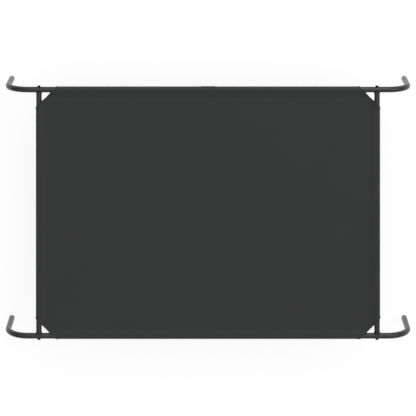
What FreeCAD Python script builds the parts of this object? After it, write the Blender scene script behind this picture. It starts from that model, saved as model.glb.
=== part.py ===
import FreeCAD, Part
import math
import os

# Raised dog bed: a fabric sling stretched over a bolted frame of round steel tube.
# Frame: the origin is on the floor under the middle of the bed, +X runs along the length,
# +Y across the width towards the back, which carries the label, and +Z is up. Millimetres.

# Overall sizes
overall_length = 1300.0  # over the outer faces of the legs
overall_width = 800.0  # over the outer faces of the two rails
overall_height = 180.0  # floor to the top of the rails

# Steel tube, the same stock for the rails and the cross tubes
tube_diameter = 18.0
tube_wall = 1.2
bend_radius = 70.0  # on the centreline, where a rail turns down into its leg
rail_overhang = 113.0  # from a cross tube's axis to the outer face of the legs
spigot_length = 60.0  # swaged end of a left rail half, inside the right half
spigot_clearance = 0.1
swage_taper = 5.0  # length over which the swaged end narrows inside the tube

# Corner joint: a bolt through the rail and the saddle into a nut in the cross tube's end
bolt_diameter = 6.0
bolt_head_diameter = 10.5
bolt_head_height = 4.0
bolt_dome_edge = 1.2  # height of the head's rim below its dome
hex_key = 4.0  # across the flats
hex_key_depth = 2.2
bolt_past_nut = 2.0
hole_clearance = 0.25  # around the bolt, on the radius, in the rail and the saddle
thread_clearance = 0.05  # between the bolt and the nut, on the radius
nut_across_flats = 10.0
nut_height = 5.0
nut_clearance = 0.1
nut_depth = 12.0  # plug material between the saddle's collar and the nut
saddle_lip = 1.0  # how far the collar stands out past the tubes, on the radius
saddle_web = 3.0  # collar between the rail and the cross tube's end
saddle_wrap = 3.5  # how far the collar laps round the side of the rail
saddle_edge = 0.8
seat_clearance = 0.1  # collar to rail
plug_past_nut = 8.0  # wall of the nut's pocket beyond the nut
plug_clearance = 0.1
plug_chamfer = 1.0

# Foot plugs
foot_height = 5.0
foot_edge = 2.0
foot_stem = 14.0

# Sling
fabric_thickness = 0.7
sleeve_clearance = 0.25  # between the sleeves and the tubes, on the radius
sleeve_depth = 34.5  # from a sleeve's outer edge inwards to the seam that closes it
panel_rise = 6.0  # panel's middle above the tube axes
seam_fold = 0.2  # radius inside the fold at the seam
corner_cut = 45.7  # from where the tube axes cross, along each, to the cut-off corner

# Label
label_width = 48.0
label_thickness = 1.0
label_gap = 0.1  # off the sleeve
label_low_angle = -55.0  # degrees from level, on the outer side of the back sleeve
label_high_angle = 40.0

# Derived places
tube_radius = tube_diameter / 2
bore_radius = tube_radius - tube_wall
rail_y = overall_width / 2 - tube_radius
leg_x = overall_length / 2 - tube_radius
cross_x = overall_length / 2 - rail_overhang
rail_z = overall_height - tube_radius
plug_radius = bore_radius - plug_clearance
collar_inner = tube_radius + saddle_web
collar_radius = tube_radius + saddle_lip
nut_seat = collar_inner + nut_depth
plug_end = nut_seat + nut_height + plug_past_nut
bolt_end = nut_seat + nut_height + bolt_past_nut
bolt_radius = bolt_diameter / 2
hole_radius = bolt_radius + hole_clearance
sleeve_inner = tube_radius + sleeve_clearance
sleeve_outer = sleeve_inner + fabric_thickness
seam_reach = sleeve_depth - sleeve_outer  # from a tube's axis inwards to the seam

SIDES = (("back", 1), ("front", -1))
ENDS = (("left", -1), ("right", 1))
X = FreeCAD.Vector(1, 0, 0)
Y = FreeCAD.Vector(0, 1, 0)
Z = FreeCAD.Vector(0, 0, 1)


def save(shape, node):
    """Write one sub-part's STEP file."""
    shape.exportStep(os.path.join("parts", node + ".step"))


def rod(radius, start, end):
    """Solid cylinder between two points."""
    run = end - start
    return Part.makeCylinder(radius, run.Length, start, run)


def along_rail(radius, start_x, end_x):
    """Solid cylinder on a rail's axis between two places along it."""
    return rod(radius, FreeCAD.Vector(start_x, 0, rail_z), FreeCAD.Vector(end_x, 0, rail_z))


def turned(outline):
    """Solid of revolution about +Y from a closed outline of (radius, y) points, some of them arcs."""
    return Part.Face(Part.Wire(outline)).revolve(FreeCAD.Vector(), Y, 360)


def flat(r, y):
    """Point of a turned piece's outline."""
    return FreeCAD.Vector(r, y, 0)


def straight_edges(points):
    """Edges that join (radius, y) points in turn."""
    corners = [flat(r, y) for r, y in points]
    return Part.makePolygon(corners).Edges


def hexagon(across_flats, start, end):
    """Hexagonal bar along +Y between two distances."""
    corner = across_flats / math.sqrt(3)
    angles = [math.radians(60 * i) for i in range(7)]
    points = [FreeCAD.Vector(corner * math.cos(a), start, corner * math.sin(a)) for a in angles]
    return Part.Face(Part.makePolygon(points)).extrude(Y * (end - start))


def at_corner(shape, side, end):
    """Carry a corner piece, drawn about the rail's axis with +Y inwards, to its own corner."""
    placed = shape.copy()
    if side > 0:
        placed.rotate(FreeCAD.Vector(), Z, 180)
    placed.translate(FreeCAD.Vector(end * cross_x, side * rail_y, rail_z))
    return placed


def rail_path(radius, end, start_x):
    """Round bar along a rail half: straight run, quarter bend and leg, down to the foot plug."""
    bend_x = leg_x - bend_radius
    section = Part.Face(Part.Wire(Part.makeCircle(radius, FreeCAD.Vector(bend_x, 0, rail_z), X)))
    bend = section.revolve(FreeCAD.Vector(bend_x, 0, rail_z - bend_radius), Y, 90)
    leg = rod(
        radius,
        FreeCAD.Vector(leg_x, 0, rail_z - bend_radius),
        FreeCAD.Vector(leg_x, 0, foot_height),
    )
    bar = along_rail(radius, start_x, bend_x).fuse([bend, leg]).removeSplitter()
    return bar if end > 0 else bar.mirror(FreeCAD.Vector(), X)


def rail_half(side, end):
    """Half a rail: the left half ends in a swaged spigot that plugs into the right half."""
    tube = rail_path(tube_radius, end, 0)
    if end < 0:
        neck_radius = bore_radius - spigot_clearance
        neck_bore = neck_radius - tube_wall
        taper_start = FreeCAD.Vector(-2 * swage_taper, 0, rail_z)
        taper = Part.makeCone(bore_radius, neck_bore, swage_taper, taper_start, X)
        spigot = along_rail(neck_radius, -swage_taper, spigot_length)
        through = along_rail(neck_bore, -swage_taper, spigot_length)
        tube = tube.fuse(spigot).cut([rail_path(bore_radius, end, 2 * swage_taper), taper, through])
    else:
        tube = tube.cut(rail_path(bore_radius, end, 0))
    hole = rod(
        hole_radius,
        FreeCAD.Vector(end * cross_x, -tube_diameter, rail_z),
        FreeCAD.Vector(end * cross_x, tube_diameter, rail_z),
    )
    tube = tube.cut(hole)
    tube.translate(Y * (side * rail_y))
    return tube


def cross_tube(end):
    """Straight tube between two saddles' collars."""
    reach = rail_y - collar_inner
    start = FreeCAD.Vector(end * cross_x, -reach, rail_z)
    stop = FreeCAD.Vector(end * cross_x, reach, rail_z)
    return rod(tube_radius, start, stop).cut(rod(bore_radius, start, stop))


def saddle():
    """Moulded plug with a collar hollowed to the rail, a bolt hole and a pocket for the nut."""
    body = turned(
        straight_edges(
            [
                (0, tube_radius - saddle_wrap),
                (collar_radius, tube_radius - saddle_wrap),
                (collar_radius, collar_inner - saddle_edge),
                (collar_radius - saddle_edge, collar_inner),
                (plug_radius, collar_inner),
                (plug_radius, plug_end - plug_chamfer),
                (plug_radius - plug_chamfer, plug_end),
                (0, plug_end),
                (0, tube_radius - saddle_wrap),
            ]
        )
    )
    rail = rod(tube_radius + seat_clearance, X * (-2 * collar_radius), X * (2 * collar_radius))
    hole = rod(hole_radius, FreeCAD.Vector(), Y * plug_end)
    pocket = hexagon(nut_across_flats + 2 * nut_clearance, nut_seat, plug_end)
    return body.cut([rail, hole, pocket])


def bolt():
    """Dome-headed bolt with a hexagon socket, its head against the rail's outer face."""
    head_radius = bolt_head_diameter / 2
    under = -tube_radius
    rim = under - bolt_dome_edge
    crown = under - bolt_head_height
    slope = math.radians(45)
    shoulder = flat(head_radius * math.cos(slope), rim + (crown - rim) * math.sin(slope))
    sides = straight_edges(
        [
            (0, crown),
            (0, bolt_end),
            (bolt_radius, bolt_end),
            (bolt_radius, under),
            (head_radius, under),
            (head_radius, rim),
        ]
    )
    dome = Part.Arc(flat(head_radius, rim), shoulder, flat(0, crown)).toShape()
    socket = hexagon(hex_key, crown - hex_key_depth, crown + hex_key_depth)
    return turned(sides + [dome]).cut(socket)


def nut():
    """Hexagon nut at the floor of the saddle's pocket."""
    bar = hexagon(nut_across_flats, nut_seat, nut_seat + nut_height)
    return bar.cut(rod(bolt_radius + thread_clearance, Y * nut_seat, Y * (nut_seat + nut_height)))


def foot():
    """Plug in a leg's end: a stem inside the tube and a flat, rounded base outside it."""
    stem = rod(plug_radius, Z * foot_height, Z * (foot_height + foot_stem))
    base = rod(tube_radius, FreeCAD.Vector(), Z * foot_height)
    base = base.makeFillet(foot_edge, [e for e in base.Edges if e.BoundBox.ZMax < foot_edge])
    return base.fuse(stem)


def teardrop(round_radius, tip_radius):
    """Closed outline round the tube at the origin and the seam: two arcs and their tangents.

    It lies in the YZ plane, with +Y inwards, and the tip is centred on the seam.
    """
    reach = math.hypot(seam_reach, panel_rise)
    aim = math.atan2(panel_rise, seam_reach)
    spread = math.acos((round_radius - tip_radius) / reach)

    def point(centre_y, centre_z, radius, angle):
        return FreeCAD.Vector(0, centre_y + radius * math.cos(angle), centre_z + radius * math.sin(angle))

    top = point(0, 0, round_radius, aim + spread)
    far = point(0, 0, round_radius, aim + math.pi)
    low = point(0, 0, round_radius, aim - spread)
    tip_low = point(seam_reach, panel_rise, tip_radius, aim - spread)
    tip = point(seam_reach, panel_rise, tip_radius, aim)
    tip_top = point(seam_reach, panel_rise, tip_radius, aim + spread)
    return Part.Wire(
        [
            Part.Arc(top, far, low).toShape(),
            Part.LineSegment(low, tip_low).toShape(),
            Part.Arc(tip_low, tip, tip_top).toShape(),
            Part.LineSegment(tip_top, top).toShape(),
        ]
    )


def sleeve_bar(round_radius, tip_radius, length, angle, offset):
    """Teardrop bar as long as one edge of the sling, turned to that edge and moved out to it."""
    bar = Part.Face(teardrop(round_radius, tip_radius)).extrude(X * length)
    bar.translate(FreeCAD.Vector(-length / 2, -offset, rail_z))
    bar.rotate(FreeCAD.Vector(), Z, angle)
    return bar


def sling():
    """Panel and four sleeves, one piece of cloth, with the corners cut off at 45 degrees."""
    edges = (
        (2 * cross_x, 0, rail_y),
        (2 * cross_x, 180, rail_y),
        (2 * rail_y, 90, cross_x),
        (2 * rail_y, 270, cross_x),
    )
    fold_outer = seam_fold + fabric_thickness
    skins = [sleeve_bar(sleeve_outer, fold_outer, *edge) for edge in edges]
    hollows = [sleeve_bar(sleeve_inner, seam_fold, *edge) for edge in edges]
    half_x = cross_x - seam_reach
    half_y = rail_y - seam_reach
    panel = Part.makeBox(
        2 * half_x,
        2 * half_y,
        fabric_thickness,
        FreeCAD.Vector(-half_x, -half_y, rail_z + panel_rise - fabric_thickness / 2),
    )
    margin = 2 * sleeve_outer  # takes the corner prisms clear past the sleeves
    corners = []
    for sx in (-1, 1):
        for sy in (-1, 1):
            out_x, out_y = sx * (cross_x + margin), sy * (rail_y + margin)
            along = corner_cut + 2 * margin
            outline = [
                FreeCAD.Vector(out_x, out_y, 0),
                FreeCAD.Vector(out_x - sx * along, out_y, 0),
                FreeCAD.Vector(out_x, out_y - sy * along, 0),
                FreeCAD.Vector(out_x, out_y, 0),
            ]
            corners.append(Part.Face(Part.makePolygon(outline)).extrude(Z * (2 * overall_height)))
    return panel.fuse(skins).removeSplitter().cut(hollows + corners)


def label():
    """Blank patch bent round the outer side of the back sleeve at the middle of its length."""
    inner = sleeve_outer + label_gap
    start = X * (-label_width / 2)
    ring = rod(inner + label_thickness, start, -start).cut(rod(inner, start, -start))
    far = 2 * inner
    low, high = math.radians(label_low_angle), math.radians(label_high_angle)
    wedge = [
        FreeCAD.Vector(-label_width, 0, 0),
        FreeCAD.Vector(-label_width, far * math.cos(low), far * math.sin(low)),
        FreeCAD.Vector(-label_width, far, 0),
        FreeCAD.Vector(-label_width, far * math.cos(high), far * math.sin(high)),
        FreeCAD.Vector(-label_width, 0, 0),
    ]
    patch = ring.common(Part.Face(Part.makePolygon(wedge)).extrude(X * (2 * label_width)))
    patch.translate(FreeCAD.Vector(0, rail_y, rail_z))
    return patch


os.makedirs("parts", exist_ok=True)
for side_name, side in SIDES:
    for end_name, end in ENDS:
        corner = side_name + "_" + end_name
        save(rail_half(side, end), "rail_" + corner)
        save(at_corner(saddle(), side, end), "saddle_" + corner)
        save(at_corner(bolt(), side, end), "bolt_" + corner)
        save(at_corner(nut(), side, end), "nut_" + corner)
        foot_plug = foot()
        foot_plug.translate(FreeCAD.Vector(end * leg_x, side * rail_y, 0))
        save(foot_plug, "foot_" + corner)
for end_name, end in ENDS:
    save(cross_tube(end), "cross_tube_" + end_name)
save(sling(), "sling")
save(label(), "label")
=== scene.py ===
import math

import bmesh
import bpy
import numpy as np
from mathutils import Matrix, Vector


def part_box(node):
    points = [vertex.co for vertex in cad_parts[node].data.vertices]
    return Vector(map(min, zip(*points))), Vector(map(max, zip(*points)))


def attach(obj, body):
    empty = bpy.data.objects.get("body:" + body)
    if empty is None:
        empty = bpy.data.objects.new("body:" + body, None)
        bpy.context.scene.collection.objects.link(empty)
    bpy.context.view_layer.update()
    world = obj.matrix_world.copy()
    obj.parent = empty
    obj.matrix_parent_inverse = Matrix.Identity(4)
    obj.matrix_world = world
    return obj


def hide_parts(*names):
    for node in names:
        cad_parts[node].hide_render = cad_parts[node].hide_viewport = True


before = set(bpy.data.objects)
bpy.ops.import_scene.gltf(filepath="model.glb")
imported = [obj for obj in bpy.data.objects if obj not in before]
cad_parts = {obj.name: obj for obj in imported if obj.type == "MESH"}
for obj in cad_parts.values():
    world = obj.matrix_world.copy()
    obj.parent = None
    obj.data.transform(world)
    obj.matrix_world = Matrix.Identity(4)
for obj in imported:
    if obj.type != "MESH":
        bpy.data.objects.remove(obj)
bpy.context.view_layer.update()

# ------------------------------------------------------------------------------------------------
# Camera: a studio camera behind and high above the bed, looking down at it, with its film kept level
# with the sling. The rails and cross tubes stay square to the picture and the legs lean. The slant is
# in the stand that carries the camera, and the lens has no shift.
tube_low, tube_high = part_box("cross_tube_right")
tube_radius = (tube_high.x - tube_low.x) / 2
cross_x = (tube_high.x + tube_low.x) / 2
axis_height = (tube_high.z + tube_low.z) / 2
CAMERA_RISE = 5.915  # above the tube axes, in metres, as every length here is
CAMERA_BACK = 1.637  # behind the point that it is aimed at
AIM_BACK = 0.0147  # behind the middle of the bed
FIELD_WIDTH = 1.3217  # seen at the height of the tube axes

to_camera = Vector((0, CAMERA_BACK, CAMERA_RISE))
slanted_axis = to_camera.normalized()
camera_place = Vector((0, AIM_BACK, axis_height)) + to_camera
stand = bpy.data.objects.new("camera_stand", None)
bpy.context.collection.objects.link(stand)
camera = bpy.data.objects.new("studio_camera", bpy.data.cameras.new("studio_camera"))
camera.data.sensor_width = 36
camera.data.lens = camera.data.sensor_width * to_camera.length / FIELD_WIDTH
camera.parent = stand
camera.matrix_parent_inverse = Matrix(
    (
        (1, 0, slanted_axis.x, camera_place.x),
        (0, 1, slanted_axis.y, camera_place.y),
        (0, 0, slanted_axis.z, camera_place.z),
        (0, 0, 0, 1),
    )
)
bpy.context.collection.objects.link(camera)
bpy.context.scene.camera = camera
bpy.context.scene.view_settings.view_transform = "Standard"

# ------------------------------------------------------------------------------------------------
# Studio: a white table lit from inside, under a white tent that is brightest overhead, and two soft
# lights, one behind the bed and one to its right. Seen past the table, the tent is pale all round.
bed_middle = Vector((0, 0, axis_height))
SOFT_LIGHTS = {  # place, and watts
    "back_light": ((1.1, 6.4, 4.6), 150),
    "right_light": ((5.2, 2.8, 5.4), 85),
}
LIGHT_SIZE = 4.5
TENT_LEAN = Vector((0.20, 0.12, 0.97)).normalized()  # towards the brightest part of the tent
TENT_TONES = (  # greys from the point opposite the brightest one, at 0, to the brightest one, at 1
    (0.30, (0.10, 0.10, 0.105)),
    (0.50, (0.24, 0.24, 0.245)),
    (0.68, (0.46, 0.46, 0.465)),
    (0.82, (0.70, 0.70, 0.70)),
    (0.93, (0.88, 0.88, 0.88)),
    (1.0, (1.0, 1.0, 1.0)),
)
TENT_PALE = (0.86, 0.87, 0.88, 1)
TENT_STRENGTH = 1.02
TABLE_REACH = 9.0
TABLE_GLOW = 0.83


def set_inputs(tree, node, inputs):
    """Give each named input of a shader node its value, or a link from a socket."""
    for name, value in inputs.items():
        if isinstance(value, bpy.types.NodeSocket):
            tree.links.new(value, node.inputs[name])
        else:
            node.inputs[name].default_value = value


def add_node(tree, kind, inputs, **settings):
    """New shader node with its settings and inputs."""
    node = tree.nodes.new(kind)
    for name, value in settings.items():
        setattr(node, name, value)
    set_inputs(tree, node, inputs)
    return node


def ramp_node(tree, factor, *stops):
    """Colour ramp over a factor, from (place, colour) stops in their order."""
    node = add_node(tree, "ShaderNodeValToRGB", {"Fac": factor})
    elements = node.color_ramp.elements
    while len(elements) < len(stops):
        elements.new(0.5)
    for element, (place, colour) in zip(elements, stops):
        element.position = place
        element.color = (*colour, 1)
    return node.outputs["Color"]


def map_node(tree, value, low, high, from_low=0, from_high=1):
    """Value carried from one range to the range from low to high, and kept inside it."""
    ranges = {"From Min": from_low, "From Max": from_high, "To Min": low, "To Max": high}
    return add_node(tree, "ShaderNodeMapRange", {"Value": value, **ranges}).outputs["Result"]


def new_finish(name):
    """New node material, with its node tree and its surface shader."""
    finish = bpy.data.materials.new(name)
    finish.use_nodes = True
    return finish, finish.node_tree, finish.node_tree.nodes["Principled BSDF"]


for name, (place, power) in SOFT_LIGHTS.items():
    light_data = bpy.data.lights.new(name, "AREA")
    light_data.shape = "SQUARE"
    light_data.size = LIGHT_SIZE
    light_data.energy = power
    soft_light = bpy.data.objects.new(name, light_data)
    soft_light.location = place
    soft_light.rotation_euler = (bed_middle - Vector(place)).to_track_quat("-Z", "Y").to_euler()
    bpy.context.collection.objects.link(soft_light)

world = bpy.data.worlds.new("tent")
world.use_nodes = True
tent = world.node_tree
direction = tent.nodes.new("ShaderNodeTexCoord").outputs["Generated"]
lean = add_node(tent, "ShaderNodeVectorMath", {0: direction, 1: TENT_LEAN}, operation="DOT_PRODUCT")
glow = ramp_node(tent, map_node(tent, lean.outputs["Value"], 0, 1, -1, 1), *TENT_TONES)
seen = tent.nodes.new("ShaderNodeLightPath").outputs["Is Camera Ray"]
air = add_node(tent, "ShaderNodeMix", {"Factor": seen, "A": glow, "B": TENT_PALE}, data_type="RGBA")
set_inputs(tent, tent.nodes["Background"], {"Color": air.outputs["Result"], "Strength": TENT_STRENGTH})
bpy.context.scene.world = world

table_mesh = bpy.data.meshes.new("table")
corners = [(x, y, 0) for x, y in ((-1, -1), (1, -1), (1, 1), (-1, 1))]
table_mesh.from_pydata(np.array(corners) * TABLE_REACH, [], [(0, 1, 2, 3)])
table = bpy.data.objects.new("table", table_mesh)
bpy.context.collection.objects.link(table)
table_finish, table_tree, table_shader = new_finish("white_table")
table_look = {"Base Color": (0.20, 0.20, 0.20, 1), "Roughness": 0.9}
table_light = {"Emission Color": (1, 1, 1, 1), "Emission Strength": TABLE_GLOW}
set_inputs(table_tree, table_shader, {**table_look, **table_light})
table_mesh.materials.append(table_finish)

# ------------------------------------------------------------------------------------------------
# Rails: the back and front rail are each two halves of bent round steel tube, powder coated black.
# A half runs level, bends down into a leg, and has a drilled hole for its corner bolt. The left
# half's swaged end plugs into the right half, inside the sleeve at the middle of the rail.
TUBE_WALL = 0.0012
BEND_RADIUS = 0.070
BEND_FLATTENING = 0.035  # share of the section's height that the bend takes away
EASED_EDGE = 0.0003
SWAGE_TAPER = 0.005
SWAGE_CLEARANCE = 0.0001
BOLT_HOLE_RADIUS = 0.00325
DRILL_REACH = 0.02  # of the drill, to each side of the tube's axis
DRILL_SIDES = 40
TUBE_SIDES = 56
LEVEL_ROWS = 12  # rows of points along the level run, the bend and the leg
BEND_ROWS = 33
LEG_ROWS = 9
EDGE_ROWS = 4
CRISP_TUBE = 35  # degrees: edges of a tube that turn by more stay crisp
TUBE_BLACK = ((0.0130, 0.0134, 0.0138), (0.0160, 0.0164, 0.0168))
SCUFF_GREY = (0.055, 0.055, 0.054, 1)
SCUFF_TOP = 0.05  # height above the floor that scuffs reach

foot_low, foot_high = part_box("foot_back_right")
leg_x = (foot_low.x + foot_high.x) / 2
rail_y = (foot_low.y + foot_high.y) / 2
leg_end_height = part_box("rail_back_right")[0].z
spigot_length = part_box("rail_back_left")[1].x
bore_radius = tube_radius - TUBE_WALL
neck_radius = bore_radius - SWAGE_CLEARANCE
neck_bore = neck_radius - TUBE_WALL
bend_start = leg_x - BEND_RADIUS
bend_length = BEND_RADIUS * math.pi / 2
leg_end = bend_start + bend_length + axis_height - BEND_RADIUS - leg_end_height


def grid_faces(rows, columns, closed_rows=False, closed_columns=False):
    """Quads between each point of a grid and the next in its row and column, round to the first
    again where the grid closes."""
    row = np.arange(rows - (not closed_rows))[:, None]
    column = np.arange(columns - (not closed_columns))[None, :]
    next_row = (row + 1) % rows
    next_column = (column + 1) % columns
    corners = (
        row * columns + column,
        row * columns + next_column,
        next_row * columns + next_column,
        next_row * columns + column,
    )
    return np.stack(corners, axis=-1).reshape(-1, 4)


def new_piece(name, points, faces, material):
    """Smooth mesh object at the origin from arrays of points and faces."""
    mesh = bpy.data.meshes.new(name)
    mesh.from_pydata(np.asarray(points).reshape(-1, 3), [], faces)
    mesh.polygons.foreach_set("use_smooth", np.ones(len(mesh.polygons), bool))
    mesh.materials.append(material)
    piece = bpy.data.objects.new(name, mesh)
    bpy.context.collection.objects.link(piece)
    return piece


def sharpen(piece, degrees):
    """Keep the edges that turn by more than this angle crisp."""
    piece.data.set_sharp_from_angle(angle=math.radians(degrees))


def weld(piece):
    """Close a piece's seams and poles: points that lie together become one."""
    joined = bmesh.new()
    joined.from_mesh(piece.data)
    bmesh.ops.remove_doubles(joined, verts=joined.verts, dist=1e-6)
    joined.to_mesh(piece.data)
    joined.free()


def wall_end(place, outer, inner, facing):
    """(place, radius) points across a cut end, outside to inside, its two edges eased to quarter
    circles. Facing is 1 where the end looks along the line and -1 where it looks back."""
    turn = np.linspace(0, np.pi / 2, EDGE_ROWS)
    outside = [place - facing * EASED_EDGE * (1 - np.sin(turn)), outer - EASED_EDGE * (1 - np.cos(turn))]
    inside = [place - facing * EASED_EDGE * (1 - np.cos(turn)), inner + EASED_EDGE * (1 - np.sin(turn))]
    return np.concatenate([np.transpose(outside), np.transpose(inside)])


def at_radius(places, radius):
    """(place, radius) points of a run of wall."""
    return np.column_stack([places, np.full(len(places), radius)])


def rail_outline(end):
    """Closed outline of a rail half's wall, as (place along its line, radius) points: out along the
    outside to the leg's end and back along the bore. The left half has its narrowed spigot too."""
    run = np.concatenate(
        [
            np.linspace(0, bend_start, LEVEL_ROWS)[1:-1],
            bend_start + np.linspace(0, bend_length, BEND_ROWS),
            np.linspace(bend_start + bend_length, leg_end, LEG_ROWS)[1:-1],
        ]
    )
    far_end = wall_end(leg_end, tube_radius, bore_radius, 1)
    outside = at_radius(run, tube_radius)
    bore = at_radius(run[::-1], bore_radius)
    if end > 0:
        return np.concatenate([outside, far_end, bore, wall_end(0, tube_radius, bore_radius, -1)[::-1]])
    shoulder = [(0, neck_radius), (0, tube_radius - EASED_EDGE), (EASED_EDGE, tube_radius)]
    taper = [(2 * SWAGE_TAPER, bore_radius), (SWAGE_TAPER, neck_bore)]
    tip = wall_end(-spigot_length, neck_radius, neck_bore, -1)[::-1]
    return np.concatenate([shoulder, outside, far_end, bore, taper, tip])


def rail_line(side, end):
    """The line that a rail half's tube follows. Level as far as the bend, then (sin t, cos t - 1)
    times the bend's radius for t up to a quarter turn, then straight down the leg."""

    def line(place):
        turn = np.clip((place - bend_start) / BEND_RADIUS, 0, np.pi / 2)
        out = np.minimum(place, bend_start) + BEND_RADIUS * np.sin(turn)
        drop = BEND_RADIUS * (1 - np.cos(turn)) + np.maximum(place - bend_start - bend_length, 0)
        centre = np.column_stack([end * out, np.full(len(place), side * rail_y), axis_height - drop])
        normal = np.column_stack([end * np.sin(turn), np.zeros(len(place)), np.cos(turn)])
        return centre, normal, np.sin(2 * turn) ** 2

    return line


def tube_wall(name, outline, line, side_axis, material):
    """Tube wall of a closed outline of (place, radius) points carried round a line. At angle a it
    lies at centre + radius (cos a normal + sin a side axis), flattened a little along the normal
    where the line bends."""
    centre, normal, bend = line(outline[:, 0])
    angle = np.linspace(0, 2 * np.pi, TUBE_SIDES, endpoint=False)
    high = outline[:, 1] * (1 - BEND_FLATTENING * bend)
    wide = outline[:, 1] * (1 + BEND_FLATTENING / 2 * bend)
    points = (
        centre[:, None, :]
        + (high[:, None] * np.cos(angle))[..., None] * normal[:, None, :]
        + (wide[:, None] * np.sin(angle))[..., None] * np.array(side_axis)
    )
    faces = grid_faces(len(outline), TUBE_SIDES, closed_rows=True, closed_columns=True)[:, ::-1]
    return new_piece(name, points, faces, material)


def drill(piece, centre, axis, radius):
    """Take a round hole, centred on a point, out of a piece. The cutter is a closed cylinder."""
    turn = Vector((0, 0, 1)).rotation_difference(Vector(axis)).to_matrix().to_4x4()
    tool = bmesh.new()
    bmesh.ops.create_cone(
        tool, cap_ends=True, segments=DRILL_SIDES, radius1=radius, radius2=radius, depth=2 * DRILL_REACH,
        matrix=Matrix.Translation(centre) @ turn,
    )
    cutter_mesh = bpy.data.meshes.new("cutter")
    tool.to_mesh(cutter_mesh)
    tool.free()
    cutter = bpy.data.objects.new("cutter", cutter_mesh)
    bpy.context.collection.objects.link(cutter)
    hole = piece.modifiers.new("hole", "BOOLEAN")
    hole.object = cutter
    hole.solver = "EXACT"
    bpy.context.view_layer.update()
    drilled = piece.evaluated_get(bpy.context.evaluated_depsgraph_get())
    mesh = bpy.data.meshes.new_from_object(drilled)
    piece.modifiers.clear()
    piece.data = mesh
    mesh.name = piece.name
    bpy.data.objects.remove(cutter)
    bpy.data.meshes.remove(cutter_mesh)


def powder_coat():
    """Black polyester powder coat on steel: satin, with fine orange peel, uneven gloss, and the odd
    paler scuff low on the legs."""
    material, tree, shader = new_finish("powder_coated_tube")
    place = tree.nodes.new("ShaderNodeTexCoord").outputs["Object"]

    def noise(scale, detail, roughness=0.5):
        spread = {"Scale": scale, "Detail": detail, "Roughness": roughness}
        return add_node(tree, "ShaderNodeTexNoise", {"Vector": place, **spread}).outputs["Fac"]

    black = ramp_node(tree, noise(55, 3), (0.3, TUBE_BLACK[0]), (0.7, TUBE_BLACK[1]))
    height = add_node(tree, "ShaderNodeSeparateXYZ", {"Vector": place}).outputs["Z"]
    low = map_node(tree, height, 1, 0, 0.004, SCUFF_TOP)
    worn = map_node(tree, noise(420, 6, 0.7), 0, 1, 0.60, 0.68)
    wear = add_node(tree, "ShaderNodeMath", {0: low, 1: worn}, operation="MULTIPLY").outputs["Value"]
    scuffed = {"Factor": wear, "A": black, "B": SCUFF_GREY}
    colour = add_node(tree, "ShaderNodeMix", scuffed, data_type="RGBA")
    peel = {"Height": noise(750, 1.5), "Strength": 0.25, "Distance": 0.00012}
    look = {
        "Base Color": colour.outputs["Result"],
        "Roughness": map_node(tree, noise(140, 4), 0.24, 0.33, 0.3, 0.7),
        "Normal": add_node(tree, "ShaderNodeBump", peel).outputs["Normal"],
        "IOR": 1.5,
    }
    set_inputs(tree, shader, look)
    return material


SIDES = (("back", 1), ("front", -1))
ENDS = (("left", -1), ("right", 1))
tube_finish = powder_coat()
for side_name, side in SIDES:
    for end_name, end in ENDS:
        node = f"rail_{side_name}_{end_name}"
        rail = tube_wall(node + "_tube", rail_outline(end), rail_line(side, end), (0, end, 0), tube_finish)
        drill(rail, Vector((end * cross_x, side * rail_y, axis_height)), (0, 1, 0), BOLT_HOLE_RADIUS)
        sharpen(rail, CRISP_TUBE)
        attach(rail, "root")
        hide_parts(node)

# ------------------------------------------------------------------------------------------------
# Cross tubes: two straight lengths of the same coated tube, cut square, that stretch the sling along
# the bed. Each is pushed over the plugs of two saddles and clamped between the rails by the bolts.
CROSS_ROWS = 40  # rows of points along the tube


def cross_outline(reach):
    """Closed outline of a straight tube's wall, as (place along it, radius) points from -reach to
    reach: along the outside, and back along the bore."""
    run = np.linspace(-reach, reach, CROSS_ROWS)[1:-1]
    outside = at_radius(run, tube_radius)
    bore = at_radius(run[::-1], bore_radius)
    far_end = wall_end(reach, tube_radius, bore_radius, 1)
    near_end = wall_end(-reach, tube_radius, bore_radius, -1)[::-1]
    return np.concatenate([outside, far_end, bore, near_end])


def cross_line(end):
    """The line that a cross tube follows: straight across one end of the bed, level and unbent."""

    def line(place):
        level = np.full(len(place), axis_height)
        centre = np.column_stack([np.full(len(place), end * cross_x), place, level])
        return centre, np.tile((0, 0, 1), (len(place), 1)), np.zeros(len(place))

    return line


for end_name, end in ENDS:
    node = "cross_tube_" + end_name
    outline = cross_outline(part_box(node)[1].y)
    tube = tube_wall(node + "_tube", outline, cross_line(end), (-1, 0, 0), tube_finish)
    sharpen(tube, CRISP_TUBE)
    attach(tube, "root")
    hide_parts(node)

# ------------------------------------------------------------------------------------------------
# Saddles: black nylon mouldings. The collar is hollowed to sit on the rail, and its plug fills the
# cross tube's end and holds the nut.
SADDLE_BLACK = (0.008, 0.008, 0.0085)


def shaded(colour, share):
    """A colour made darker, or lighter, by a share."""
    return tuple(share * part for part in colour)


def moulded_black(name, colour, roughness, grain):
    """Moulded black plastic: eroded-tool grain in the surface, faint flow marks in its gloss."""
    material, tree, shader = new_finish(name)
    place = tree.nodes.new("ShaderNodeTexCoord").outputs["Object"]
    marks = {"Vector": place, "Scale": 160, "Detail": 3, "Distortion": 0.6}
    flow = add_node(tree, "ShaderNodeTexNoise", marks).outputs["Fac"]
    pits = add_node(tree, "ShaderNodeTexVoronoi", {"Vector": place, "Scale": grain}, feature="SMOOTH_F1")
    relief = {"Height": pits.outputs["Distance"], "Strength": 0.35, "Distance": 0.00008}
    look = {
        "Base Color": ramp_node(tree, flow, (0.3, shaded(colour, 0.9)), (0.7, shaded(colour, 1.12))),
        "Roughness": map_node(tree, flow, roughness - 0.06, roughness + 0.06),
        "Normal": add_node(tree, "ShaderNodeBump", relief).outputs["Normal"],
        "IOR": 1.52,
    }
    set_inputs(tree, shader, look)
    return material


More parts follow.
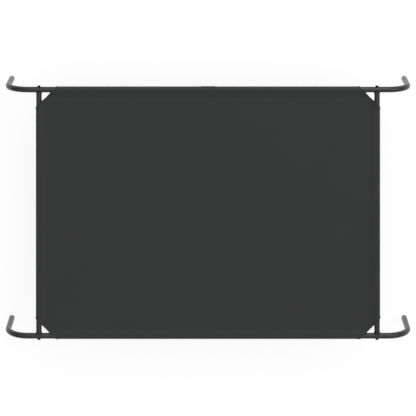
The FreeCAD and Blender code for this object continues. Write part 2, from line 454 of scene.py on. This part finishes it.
def finish_nodes(kind, material):
    """Give the CAD nodes of one kind, at all four corners, their finish."""
    for side_name, _ in SIDES:
        for end_name, _ in ENDS:
            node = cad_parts[f"{kind}_{side_name}_{end_name}"]
            for slot in node.material_slots:
                slot.material = material


finish_nodes("saddle", moulded_black("saddle_plastic", SADDLE_BLACK, roughness=0.42, grain=2600))

# ------------------------------------------------------------------------------------------------
# Bolts and nuts: dome-headed M6 bolts with hexagon sockets, rolled threads and a blackened finish, each
# through a rail and its saddle into a tapped, zinc-plated nut, which sits in the saddle's pocket.
HEAD_RIM = 0.0012  # height of the head's rim below its dome
KEY_HALF = 0.002  # half across the flats of the socket
KEY_DEPTH = 0.0022
SOCKET_CONE = 0.0006  # depth that the drill's point leaves below the socket's floor
SOCKET_LAND = 0.0002  # flat round that cone
SOCKET_MOUTH = 0.0026  # radius of the socket's chamfered mouth
SHANK_RADIUS = 0.003
UNDER_HEAD_FILLET = 0.0003
THREAD_PITCH = 0.001
THREAD_DEPTH = 0.0006
THREAD_LENGTH = 0.024
THREAD_ROWS = 6  # for each turn of the thread
TIP_CHAMFER = 0.0008
THREAD_CLEARANCE = 0.00005  # between the bolt's thread and the nut's
NUT_FACE_SHARE = 0.95  # radius of a nut's round face, over half its width across flats
NUT_CHAMFER_SLOPE = math.tan(math.radians(60))  # of radius to height, on its chamfered corners
NUT_COUNTERSINK = 0.00035
BOLT_COLUMNS = 48
DOME_ROWS = 10
CHAMFER_ROWS = 6
CRISP_BOLT = 40  # degrees
BOLT_BLACK = (0.022, 0.022, 0.024)
ZINC_GREY = (0.52, 0.54, 0.57)

bolt_low, bolt_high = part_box("bolt_back_right")
head_radius = (bolt_high.x - bolt_low.x) / 2
head_seat = rail_y + tube_radius
head_height = bolt_high.y - head_seat
bolt_length = head_seat - bolt_low.y
nut_low, nut_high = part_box("nut_back_right")
nut_start = head_seat - nut_high.y
nut_height = nut_high.y - nut_low.y
nut_half = (nut_high.z - nut_low.z) / 2
around = np.linspace(0, 2 * np.pi, BOLT_COLUMNS, endpoint=False)


def bolt_outline():
    """Rows of (place from under the head, radius, share of hexagon, share of thread), from the middle
    of the socket's floor over the dome, which is a quarter ellipse, to the middle of the tip."""
    floor = KEY_DEPTH - head_height
    turn = np.linspace(math.acos(SOCKET_MOUTH / head_radius), 0, DOME_ROWS)
    dome = (head_height - HEAD_RIM) / math.sin(turn[0])
    over_dome = np.column_stack([-HEAD_RIM - dome * np.sin(turn), head_radius * np.cos(turn)])
    mouth_edge = over_dome[0, 0] + SOCKET_MOUTH - KEY_HALF
    socket = [
        (floor + SOCKET_CONE, 0, 0, 0),
        (floor, KEY_HALF - SOCKET_LAND, 1, 0),
        (floor, KEY_HALF, 1, 0),
        (mouth_edge, KEY_HALF, 1, 0),
    ]
    head = np.column_stack([over_dome, 0 * over_dome])
    under = [
        (-EASED_EDGE, head_radius, 0, 0),
        (0, head_radius - EASED_EDGE, 0, 0),
        (0, SHANK_RADIUS + UNDER_HEAD_FILLET, 0, 0),
        (UNDER_HEAD_FILLET, SHANK_RADIUS, 0, 0),
    ]
    steps = round(THREAD_LENGTH / THREAD_PITCH * THREAD_ROWS)
    run = np.linspace(bolt_length - THREAD_LENGTH, bolt_length - TIP_CHAMFER, steps)
    fade = np.clip((run - run[0]) / THREAD_PITCH, 0, 1)
    threaded = np.column_stack([run, 0 * run + SHANK_RADIUS, 0 * run, fade])
    tip = [(bolt_length, SHANK_RADIUS - TIP_CHAMFER, 0, 0), (bolt_length, 0, 0, 0)]
    return np.concatenate([socket, head, under, threaded, tip])


def thread_groove(place):
    """Depth of the rolled thread at a place and each angle a: (1 - cos(2 pi place / pitch - a)) / 2 of
    its full depth."""
    return THREAD_DEPTH * (1 - np.cos(2 * np.pi * place / THREAD_PITCH - around)) / 2


def hexagon_reach(first_flat):
    """Distance of a hexagon's side from its axis over its distance at the middle of a flat, which is
    1 / cos(a) at an angle a from there. The first flat's middle is at the angle given."""
    return 1 / np.cos((around - first_flat + np.pi / 6) % (np.pi / 3) - np.pi / 6)


def on_bolt_axis(name, place, reach, closed_rows, side, end, material):
    """Closed mesh round a corner's bolt axis. At a place from under the bolt's head and an angle a, it
    lies at (reach cos a, place, reach sin a) from the axis."""
    points = np.stack(
        [
            end * cross_x + reach * np.cos(around),
            side * (head_seat - place) + 0 * reach,
            axis_height + side * reach * np.sin(around),
        ],
        axis=-1,
    )
    faces = grid_faces(len(place), BOLT_COLUMNS, closed_rows, closed_columns=True)
    piece = new_piece(name, points, faces, material)
    weld(piece)
    sharpen(piece, CRISP_BOLT)
    return piece


def threaded_bolt(name, side, end, material):
    """The bolt's outline carried round its axis, less the thread, and widened to a hexagon in the
    socket."""
    place, radius, hexagon, thread = bolt_outline().T[..., None]
    reach = (radius - thread * thread_groove(place)) * (1 + hexagon * (hexagon_reach(0) - 1))
    return on_bolt_axis(name, place, reach, False, side, end, material)


def tapped_nut(name, side, end, material):
    """Nut: the outside is the nearer to the axis of a hexagon and the chamfer's cone, and the bore the
    further of the thread and the countersink's cone."""
    flats = nut_half * hexagon_reach(np.pi / 6)
    face_radius = nut_half * NUT_FACE_SHARE
    chamfer = np.linspace(0, (flats.max() - face_radius) / NUT_CHAMFER_SLOPE, CHAMFER_ROWS)[:, None]
    outside = np.concatenate([chamfer, nut_height - chamfer[::-1]])
    cone = face_radius + np.minimum(outside, nut_height - outside) * NUT_CHAMFER_SLOPE
    bore = np.linspace(nut_height, 0, round(nut_height / THREAD_PITCH * THREAD_ROWS) + 1)[:, None]
    thread = SHANK_RADIUS + THREAD_CLEARANCE - thread_groove(nut_start + bore)
    countersink = SHANK_RADIUS + NUT_COUNTERSINK - np.minimum(bore, nut_height - bore)
    reach = np.concatenate([np.minimum(flats, cone), np.maximum(thread, countersink)])
    place = nut_start + np.concatenate([outside, bore])
    return on_bolt_axis(name, place, reach, True, side, end, material)


def bolt_steel(name, colour, roughness):
    """Blackened or plated steel: fine turned and plated grain, and an uneven tone."""
    material, tree, shader = new_finish(name)
    place = tree.nodes.new("ShaderNodeTexCoord").outputs["Object"]
    patches = {"Vector": place, "Scale": 700, "Detail": 5, "Roughness": 0.6}
    patch = add_node(tree, "ShaderNodeTexNoise", patches).outputs["Fac"]
    grain = add_node(tree, "ShaderNodeTexNoise", {"Vector": place, "Scale": 4200, "Detail": 2})
    relief = {"Height": grain.outputs["Fac"], "Strength": 0.2, "Distance": 0.00004}
    look = {
        "Base Color": ramp_node(tree, patch, (0.32, shaded(colour, 0.8)), (0.68, shaded(colour, 1.25))),
        "Roughness": map_node(tree, patch, roughness - 0.1, roughness + 0.1),
        "Normal": add_node(tree, "ShaderNodeBump", relief).outputs["Normal"],
        "Metallic": 1,
    }
    set_inputs(tree, shader, look)
    return material


blackened = bolt_steel("black_bolt_steel", BOLT_BLACK, roughness=0.4)
zinc_plated = bolt_steel("zinc_nut_steel", ZINC_GREY, roughness=0.34)
for side_name, side in SIDES:
    for end_name, end in ENDS:
        corner = f"{side_name}_{end_name}"
        screw = threaded_bolt(f"bolt_{corner}_threaded", side, end, blackened)
        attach(screw, "root")
        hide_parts(f"bolt_{corner}")
        nut = tapped_nut(f"nut_{corner}_tapped", side, end, zinc_plated)
        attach(nut, "root")
        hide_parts(f"nut_{corner}")

# ------------------------------------------------------------------------------------------------
# Foot plugs: soft black polyethylene plugs pushed into the open ends of the legs. Each has a stem that
# grips the bore, and a rounded base, as wide as the tube, that stands on the floor.
FOOT_BLACK = (0.010, 0.010, 0.0105)
finish_nodes("foot", moulded_black("foot_plastic", FOOT_BLACK, roughness=0.55, grain=1900))

# ------------------------------------------------------------------------------------------------
# Sling: one rectangle of heavy charcoal polyester, plain woven, its corners cut off at 45 degrees
# and hemmed. Each edge goes round its tube and back under the panel, where two rows of stitching
# close it into a sleeve. The bolted frame keeps it taut, with a slight dish in the middle.
CLOTH_THICKNESS = 0.0007
HEM_THICKNESS = 0.0015  # two plies, folded and pressed
HEM_EDGE_THICKNESS = 0.0010
HEM_EDGE_WIDTH = 0.0004
HEM_WIDTH = 0.008
HEM_STEP = 0.0012  # over which a hem thins to the single cloth
CORNER_CUT = 0.0457  # from where two tube axes cross, along each, to the cut-off corner
SEAM_REACH = CORNER_CUT / 2  # from a tube's axis to the seam: the cuts end at the seams' ends
PANEL_RISE = 0.00565  # the panel's underside at the seams, above the tube axes
PANEL_DISH = 0.0035
PLY_GAP = 0.00005
SEAM_ALLOWANCE = 0.012
SEAM_ROWS = (0.0015, 0.0075)  # rows of stitching, inwards from the seam
SEAM_DIMPLE = 0.00022
SEAM_DIMPLE_WIDTH = 0.0011
PUCKER_HEIGHT = 0.00012
PUCKER_FADE = 0.016  # inwards over the panel
SLEEVE_PUCKER_FADE = 0.004  # outwards round the sleeve
PUCKER_WAVES = (0.029, 0.041, 0.067)
PUCKER_PHASE = 900  # radians for each metre of a wave, which sets the waves out of step
FLAT_ROWS = 11  # rows of points from the seam to the tube, which crowd towards the seam
FLAT_CROWDING = 1.4
ROUND_ROWS = 30
ALLOWANCE_ROWS = 9
MOST_STEPS = 200  # from an edge of the cloth to its middle
CHARCOAL = ((0.0238, 0.0260, 0.0248), (0.0273, 0.0297, 0.0284))
SLING_THREAD_PITCH = 0.0010

sleeve_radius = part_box("sling")[1].x - cross_x - CLOTH_THICKNESS
panel_x = cross_x - SEAM_REACH
panel_y = rail_y - SEAM_REACH


def graded(half, first=0.0011, growth=1.13, longest=0.0082):
    """Places from -half to half. Each step from either end is a little longer than the one before,
    up to the longest, so that they are close together only near the ends."""
    steps = np.minimum(first * growth ** np.arange(MOST_STEPS), longest)
    reach = np.concatenate([[0], np.cumsum(steps)])
    reach = reach[: np.searchsorted(reach, half) + 1]
    reach *= half / reach[-1]
    return np.concatenate([reach - half, (half - reach)[-2::-1]])


def puckers(along):
    """Small waves of the cloth along a seam: a sum of three sines."""
    waves = [np.sin(2 * np.pi * along / wave + PUCKER_PHASE * wave) for wave in PUCKER_WAVES]
    return PUCKER_HEIGHT * sum(waves)


def seam_relief(along, inwards):
    """Height that a seam gives the panel: dimples along its rows of stitching, and puckers that
    fade away inwards."""
    rows = sum(np.exp(-(((inwards - row) / SEAM_DIMPLE_WIDTH) ** 2)) for row in SEAM_ROWS)
    return puckers(along) * np.exp(-inwards / PUCKER_FADE) - SEAM_DIMPLE * rows


def panel_height(x, y):
    """Height of the panel's underside: a dish (1 - (x/a)^2)(1 - (y/b)^2) deep, and the relief of
    the four seams."""
    dish = PANEL_DISH * (1 - (x / panel_x) ** 2) * (1 - (y / panel_y) ** 2)
    relief = seam_relief(x, panel_y - np.abs(y)) + seam_relief(y, panel_x - np.abs(x))
    return axis_height + PANEL_RISE - dish + relief


def tangent_angle(rise, way):
    """Angle at which the cloth from a seam point leaves its tube, over the top (1) or below (-1)."""
    reach = math.hypot(SEAM_REACH, rise)
    return math.atan2(rise, SEAM_REACH) + way * math.acos(sleeve_radius / reach)


def sleeve_outline():
    """Inner face of a sleeve in section, as (inwards from the tube's axis, above it) points: straight
    from the seam to the tube, round it on the sleeve's radius, straight back under the seam, and on
    by the seam allowance. It also gives how many of the points are allowance."""
    over = tangent_angle(PANEL_RISE, 1)
    under = tangent_angle(PANEL_RISE - PLY_GAP, -1) + 2 * math.pi
    turn = np.linspace(over, under, ROUND_ROWS)
    round_tube = sleeve_radius * np.column_stack([np.cos(turn), np.sin(turn)])
    seam = np.array((SEAM_REACH, PANEL_RISE))
    share = (np.linspace(0, 1, FLAT_ROWS) ** FLAT_CROWDING)[:, None]
    top = seam + share * (round_tube[0] - seam)
    seam_below = seam - (0, PLY_GAP)
    bottom = seam_below + share[::-1] * (round_tube[-1] - seam_below)
    allowance = SEAM_REACH + np.linspace(0, SEAM_ALLOWANCE, ALLOWANCE_ROWS)[1:]
    last = np.column_stack([allowance, np.full(len(allowance), PANEL_RISE - PLY_GAP)])
    return np.concatenate([top[:-1], round_tube, bottom[1:], last]), len(last)


outline, allowance_points = sleeve_outline()
outline_steps = np.hypot(*np.diff(outline, axis=0).T)
outline_run = np.concatenate([[0], np.cumsum(outline_steps)])
outline_slope = np.gradient(outline[:, 0], outline_run)
mouth_back = np.maximum(CORNER_CUT - outline[:, 0], outline[:, 0])


def to_side(along, out, height, angle):
    """Points at a distance along an edge of the bed, out from the middle and above the floor, with
    the front edge turned by the angle to its own side."""
    cos, sin = round(math.cos(angle)), round(math.sin(angle))
    return np.stack([along * cos + out * sin, along * sin - out * cos, height], axis=-1)


def hem_share(from_edge):
    """1 on the folded hem along a cut corner and 0 beyond it."""
    return np.clip((HEM_WIDTH - from_edge) / HEM_STEP, 0, 1)


def sleeve(half_along, half_across, angle):
    """One edge of the sling, turned to its side of the bed: points, flat cloth coordinates and
    distance from the nearest mouth. The outline runs along the tube between mouths cut at 45
    degrees in plan, so its half-length at u inwards from the axis is half_along - (cut - u)."""
    places = graded(half_along - SEAM_REACH)
    share = places / places[-1]
    half = half_along - mouth_back
    along = half[:, None] * share
    inwards = np.repeat(outline[:, :1], len(places), axis=1)
    above = np.repeat(outline[:, 1:], len(places), axis=1)
    from_seam = outline_run[:, None]
    dimple = SEAM_DIMPLE * np.exp(-(((from_seam + SEAM_ROWS[0]) / SEAM_DIMPLE_WIDTH) ** 2))
    above = above + puckers(along) * np.exp(-from_seam / SLEEVE_PUCKER_FADE) - dimple
    from_mouth = (half[:, None] - np.abs(along)) / np.sqrt(1 + outline_slope[:, None] ** 2)
    points = to_side(along, half_across - inwards, axis_height + above, angle)
    under_panel = points[-allowance_points - 1 :]
    under_panel[..., 2] = panel_height(under_panel[..., 0], under_panel[..., 1]) - PLY_GAP
    points[0, :, 2] = panel_height(points[0, :, 0], points[0, :, 1])
    cloth_out = np.repeat(half_across - SEAM_REACH + outline_run[:, None], len(places), axis=1)
    flat = to_side(along, cloth_out, above, angle)[..., :2]
    return points, flat, from_mouth


def plain_weave(name, pitch, dark, light):
    """Plain weave between two tones on the cloth's own coordinates, in metres. A warp thread's face is
    |sin u| (0.6 + 0.4 |sin v|) high, round across and crowned along, and a weft thread's the same
    with u and v exchanged. The warp is on top where sin u sin v is above 0. The tone has slubs along
    the threads and faint clouds, and painted shade darkens it down between the threads."""
    material, tree, shader = new_finish(name)
    cloth = add_node(tree, "ShaderNodeUVMap", {}, uv_map="cloth").outputs["UV"]
    axes = add_node(tree, "ShaderNodeSeparateXYZ", {"Vector": cloth})

    def math_node(operation, a, b=0.0, c=0.0, clamp=False):
        node = add_node(tree, "ShaderNodeMath", {0: a, 1: b, 2: c}, operation=operation, use_clamp=clamp)
        return node.outputs["Value"]

    def mix_node(factor, a, b, **settings):
        node = add_node(tree, "ShaderNodeMix", {"Factor": factor, "A": a, "B": b}, **settings)
        return node.outputs["Result"]

    def crowned(across, along):
        return math_node("MULTIPLY", across, math_node("MULTIPLY_ADD", along, 0.4, 0.6))

    def slubs(stretch):
        drawn = add_node(tree, "ShaderNodeMapping", {"Vector": cloth, "Scale": stretch}).outputs["Vector"]
        spots = {"Vector": drawn, "Scale": 1, "Detail": 3}
        return add_node(tree, "ShaderNodeTexNoise", spots).outputs["Fac"]

    across_warp = math_node("SINE", math_node("MULTIPLY", axes.outputs["X"], math.pi / pitch))
    across_weft = math_node("SINE", math_node("MULTIPLY", axes.outputs["Y"], math.pi / pitch))
    over = math_node("MULTIPLY_ADD", math_node("MULTIPLY", across_warp, across_weft), 1.5, 0.5, clamp=True)
    round_warp = math_node("ABSOLUTE", across_warp)
    round_weft = math_node("ABSOLUTE", across_weft)
    weft_face = crowned(round_weft, round_warp)
    height = mix_node(over, weft_face, crowned(round_warp, round_weft), data_type="FLOAT")
    slub = mix_node(over, slubs((16, 900, 1)), slubs((900, 16, 1)), data_type="FLOAT")
    cloud = add_node(tree, "ShaderNodeTexNoise", {"Vector": cloth, "Scale": 7, "Detail": 4}).outputs["Fac"]
    clouds = ramp_node(tree, cloud, (0.3, (0.97, 0.97, 0.97)), (0.7, (1.03, 1.03, 1.03)))
    # Painted shade: the colour is darkened where the weave's height is low, down between the threads.
    painted_gap_shade = ramp_node(tree, height, (0.1, (0.25, 0.25, 0.25)), (0.7, (1, 1, 1)))
    colour = ramp_node(tree, slub, (0.3, dark), (0.7, light))
    for shade in (clouds, painted_gap_shade):
        colour = mix_node(1, colour, shade, data_type="RGBA", blend_type="MULTIPLY")
    relief = {"Height": height, "Strength": 1.0, "Distance": 0.00018}
    look = {
        "Base Color": colour,
        "Roughness": map_node(tree, slub, 0.38, 0.48),
        "Normal": add_node(tree, "ShaderNodeBump", relief).outputs["Normal"],
        "IOR": 1.45,
        "Specular IOR Level": 0.4,
        "Sheen Weight": 0.03,
        "Sheen Roughness": 0.5,
    }
    set_inputs(tree, shader, look)
    return material


def lay_flat(piece, flat, faces):
    """UV map "cloth": the flat cloth's coordinates, in metres, of each face's corners."""
    corners = flat[faces.ravel()].astype(np.float32)
    piece.data.uv_layers.new(name="cloth").uv.foreach_set("vector", corners.ravel())


EDGES = (  # half along, half across, and the angle to its side
    (cross_x, rail_y, 0),
    (rail_y, cross_x, math.pi / 2),
    (cross_x, rail_y, math.pi),
    (rail_y, cross_x, -math.pi / 2),
)
panel_places_x = graded(panel_x)
panel_places_y = graded(panel_y)
grid_x, grid_y = np.meshgrid(panel_places_x, panel_places_y)
panel_points = np.stack([grid_x, grid_y, panel_height(grid_x, grid_y)], axis=-1)
panel_from_cut = (cross_x - np.abs(grid_x) + rail_y - np.abs(grid_y) - CORNER_CUT) / math.sqrt(2)
sheets = [(panel_points, panel_points[..., :2], panel_from_cut, 1)]
for edge in EDGES:
    sheets.append((*sleeve(*edge), -1))

points, faces, flats, from_edge = [], [], [], []
count = 0
for sheet_points, sheet_flat, sheet_from_edge, way in sheets:
    rows, columns = sheet_points.shape[:2]
    faces.append(grid_faces(rows, columns)[:, ::way] + count)
    points.append(sheet_points.reshape(-1, 3))
    flats.append(sheet_flat.reshape(-1, 2))
    from_edge.append(sheet_from_edge.ravel())
    count += rows * columns
points, faces, flats = np.concatenate(points), np.concatenate(faces), np.concatenate(flats)
from_edge = np.concatenate(from_edge)

sling = new_piece("sling_cloth", points, faces, plain_weave("sling_fabric", SLING_THREAD_PITCH, *CHARCOAL))
lay_flat(sling, flats, faces)
thickness = CLOTH_THICKNESS + (HEM_THICKNESS - CLOTH_THICKNESS) * hem_share(from_edge)
thickness = np.where(from_edge < HEM_EDGE_WIDTH, HEM_EDGE_THICKNESS, thickness)
plies = sling.vertex_groups.new(name="plies")
levels = np.round(thickness / HEM_THICKNESS, 2)
for level in np.unique(levels):
    plies.add(np.flatnonzero(levels == level).tolist(), float(level), "REPLACE")
weld(sling)
wall = sling.modifiers.new("thickness", "SOLIDIFY")
wall.thickness = HEM_THICKNESS
wall.offset = 1
wall.vertex_group = "plies"
wall.use_even_offset = True

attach(sling, "root")
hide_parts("sling")

# ------------------------------------------------------------------------------------------------
# Stitching: bonded charcoal polyester thread, lock stitched. Two rows close each sleeve, through the
# panel and the allowance under it, and one row holds the hem of each mouth.
THREAD_RADIUS = 0.00026
STITCH_LENGTH = 0.0033
STITCH_PITCH = 0.0041
STITCH_CROWN = 0.00016  # of a stitch's middle above the cloth, and of its ends below it
STITCH_SIDES = 6
STITCH_RINGS = (-0.8, 0, 0.8)  # of points round a thread, between its ends at -1 and 1
# the first tone is painted shade for the grooves of the twist, the second is the thread's own tone
THREAD_SHADE_AND_TONE = ((0.020, 0.0205, 0.0202), (0.034, 0.0346, 0.0342))
ROW_MARGIN = 0.003
HEM_ROW = 0.0057  # from a mouth's edge


def stitches(name, centres, along, out, material):
    """Many short threads in one mesh, each with two closed ends. At t from -1 to 1 a thread's line
    lies at centre + t length / 2 along + crown (1 - 2 t^2) out."""
    rings = len(STITCH_RINGS)
    turn = np.arange(STITCH_SIDES) * 2 * np.pi / STITCH_SIDES
    t = np.concatenate([[-1], np.repeat(STITCH_RINGS, STITCH_SIDES), [1]])
    across = np.concatenate([[0], np.tile(np.cos(turn), rings), [0]]) * THREAD_RADIUS
    up = np.concatenate([[0], np.tile(np.sin(turn), rings), [0]]) * THREAD_RADIUS
    up += STITCH_CROWN * (1 - 2 * t**2)
    sides = np.cross(out, along)
    points = (
        centres[:, None, :]
        + (t * STITCH_LENGTH / 2)[:, None] * along[:, None, :]
        + across[:, None] * sides[:, None, :]
        + up[:, None] * out[:, None, :]
    )
    tube = grid_faces(rings, STITCH_SIDES, closed_columns=True) + 1
    first = np.arange(STITCH_SIDES)
    after = (first + 1) % STITCH_SIDES
    start_cap = np.column_stack([0 * first, after + 1, first + 1])
    last = 1 + (rings - 1) * STITCH_SIDES
    end_cap = np.column_stack([0 * first + len(t) - 1, first + last, after + last])
    caps = np.concatenate([start_cap, end_cap])
    shift = (np.arange(len(centres)) * len(t))[:, None, None]
    faces = [*(tube + shift).reshape(-1, 4).tolist(), *(caps + shift).reshape(-1, 3).tolist()]
    return new_piece(name, points, faces, material)


def seam_row(half_along, half_across, angle, inwards, under):
    """Centres, directions and outward normals of one row along a sleeve's seam, on the panel's top
    or, under it, on the allowance."""
    reach = half_along - SEAM_REACH - ROW_MARGIN
    along = np.arange(-reach, reach, STITCH_PITCH)
    centres = to_side(along, np.full(len(along), half_across - SEAM_REACH - inwards), 0 * along, angle)
    underside = panel_height(centres[:, 0], centres[:, 1])
    centres[:, 2] = underside - PLY_GAP - CLOTH_THICKNESS if under else underside + CLOTH_THICKNESS
    direction = to_side(np.ones(1), np.zeros(1), np.zeros(1), angle)
    out = np.tile((0, 0, -1 if under else 1), (len(along), 1))
    return centres, np.repeat(direction, len(along), axis=0), out


def hem_row(half_along, half_across, angle, mouth):
    """The same for the row round one mouth of a sleeve, from the seam round to the seam below: on the
    hem's outer face, a fixed distance from the mouth's edge."""
    rounds = slice(0, -allowance_points)
    slope = outline_slope[rounds]
    normal = np.column_stack([np.gradient(outline[rounds, 1]), -np.gradient(outline[rounds, 0])])
    normal /= np.linalg.norm(normal, axis=1)[:, None]
    face = outline[rounds] + HEM_THICKNESS * normal
    along = mouth * (half_along - mouth_back[rounds] - HEM_ROW * np.sqrt(1 + slope**2))
    line = to_side(along, half_across - face[:, 0], axis_height + face[:, 1], angle)
    outwards = to_side(0 * along, -normal[:, 0], normal[:, 1], angle)
    run = np.concatenate([[0], np.cumsum(np.linalg.norm(np.diff(line, axis=0), axis=1))])
    wanted = np.arange(ROW_MARGIN, run[-1] - ROW_MARGIN, STITCH_PITCH)

    def between(values):
        return np.column_stack([np.interp(wanted, run, values[:, axis]) for axis in range(3)])

    direction = between(np.gradient(line, run, axis=0))
    direction /= np.linalg.norm(direction, axis=1)[:, None]
    out = between(outwards)
    out -= np.sum(out * direction, axis=1)[:, None] * direction
    return between(line), direction, out / np.linalg.norm(out, axis=1)[:, None]


def bonded_thread():
    """Charcoal thread: two plies twisted together, as fine bands across each stitch, with painted shade in
    the grooves between the plies.
    """
    material, tree, shader = new_finish("sewing_thread")
    place = tree.nodes.new("ShaderNodeTexCoord").outputs["Object"]
    bands = {"Vector": place, "Scale": 320, "Distortion": 0.4}
    twist = add_node(tree, "ShaderNodeTexWave", bands, bands_direction="DIAGONAL").outputs["Fac"]
    relief = {"Height": twist, "Strength": 0.5, "Distance": 0.00006}
    look = {
        # Painted shade: the tone is darker where the twist's relief is low, in the grooves between the
        # plies.
        "Base Color": ramp_node(tree, twist, (0.2, THREAD_SHADE_AND_TONE[0]), (0.8, THREAD_SHADE_AND_TONE[1])),
        "Roughness": 0.48,
        "Normal": add_node(tree, "ShaderNodeBump", relief).outputs["Normal"],
    }
    set_inputs(tree, shader, look)
    return material


thread = bonded_thread()
rows = {
    "seam_stitches_top": [seam_row(*edge, row, False) for edge in EDGES for row in SEAM_ROWS],
    "seam_stitches_under": [seam_row(*edge, row, True) for edge in EDGES for row in SEAM_ROWS],
    "hem_stitches": [hem_row(*edge, mouth) for edge in EDGES for mouth in (-1, 1)],
}
for name, parts in rows.items():
    row_piece = stitches(name, *(np.concatenate(part) for part in zip(*parts)), thread)
    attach(row_piece, "root")

# ------------------------------------------------------------------------------------------------
# Label: a blank woven patch, hot cut so that its edges are sealed and rounded, pressed round the outer
# side of the back sleeve at the middle of its length and sewn on all round.
LABEL_GAP = 0.0001
LABEL_THICKNESS = 0.0007
LABEL_LOW = math.radians(-55)
LABEL_HIGH = math.radians(40)
LABEL_ROW = 0.0022  # stitching, in from the edge
LABEL_THREAD_PITCH = 0.0005
LABEL_DIMPLE = 0.25  # share of the thickness that the stitching presses down
LABEL_DIMPLE_WIDTH = 0.0009
LABEL_RIM = 0.0006  # rounded edge, which the dimple stays off
LABEL_LONG_STITCHES = 13
LABEL_SHORT_STITCHES = 4
LABEL_GRID = 81  # points across the label

label_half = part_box("label")[1].x
label_radius = sleeve_radius + CLOTH_THICKNESS + LABEL_GAP
label_middle = (LABEL_LOW + LABEL_HIGH) / 2
label_half_height = label_radius * (LABEL_HIGH - LABEL_LOW) / 2


def label_point(across, up, lift):
    """Place on the label: across from its middle, up round the sleeve, and lifted off the sleeve."""
    angle = label_middle + up / label_radius
    out = rail_y + (label_radius + lift) * np.cos(angle)
    height = axis_height + (label_radius + lift) * np.sin(angle)
    return np.stack([across + 0 * up, out, height], axis=-1)


def label_lift(across, up):
    """Height of the label's face off the sleeve, over its thickness: sqrt((1 - p^36)(1 - q^16)) at p and
    q of its half sizes, which rounds its edges, less a dimple along the stitching."""
    p = np.abs(across) / label_half
    q = np.abs(up) / label_half_height
    from_edge = np.minimum(label_half - np.abs(across), label_half_height - np.abs(up))
    dimple = LABEL_DIMPLE * np.exp(-(((from_edge - LABEL_ROW) / LABEL_DIMPLE_WIDTH) ** 2))
    face = np.sqrt(np.clip((1 - p**36) * (1 - q**16), 0, 1))
    return LABEL_THICKNESS * (face - dimple * (from_edge > LABEL_RIM))


def label_patch(material):
    """Closed patch: the face over the back of one grid, which meet round the edge."""
    share = np.sin(np.linspace(-np.pi / 2, np.pi / 2, LABEL_GRID))
    across, up = np.meshgrid(share * label_half, share[::2] * label_half_height)
    face = label_point(across, up, label_lift(across, up))
    back = label_point(across, up, 0 * across)
    grid = grid_faces(*across.shape)
    faces = np.concatenate([grid[:, ::-1], grid + across.size])
    points = np.concatenate([face.reshape(-1, 3), back.reshape(-1, 3)])
    piece = new_piece("label_patch", points, faces, material)
    lay_flat(piece, np.column_stack([across.ravel(), up.ravel()]), faces % across.size)
    weld(piece)
    return piece


def label_stitching(material):
    """One row of stitches round the label's four sides."""
    half_x = label_half - LABEL_ROW
    half_up = label_half_height - LABEL_ROW
    long_row = np.linspace(-half_x, half_x, LABEL_LONG_STITCHES)
    step = 2 * half_up / LABEL_SHORT_STITCHES
    short_row = np.arange(LABEL_SHORT_STITCHES) * step + step / 2 - half_up
    across = np.concatenate([long_row, long_row, 0 * short_row - half_x, 0 * short_row + half_x])
    up = np.concatenate([0 * long_row - half_up, 0 * long_row + half_up, short_row, short_row])
    angle = label_middle + up / label_radius
    on_long = np.arange(len(up)) < 2 * len(long_row)
    round_sleeve = np.column_stack([0 * up, -np.sin(angle), np.cos(angle)])
    along = np.where(on_long[:, None], (1, 0, 0), round_sleeve)
    out = np.column_stack([0 * up, np.cos(angle), np.sin(angle)])
    centres = label_point(across, up, label_lift(across, up))
    return stitches("label_stitches", centres, along, out, material)


label = label_patch(plain_weave("label_fabric", LABEL_THREAD_PITCH, *CHARCOAL))
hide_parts("label")
label_sewing = label_stitching(thread)
for piece in (label, label_sewing):
    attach(piece, "root")
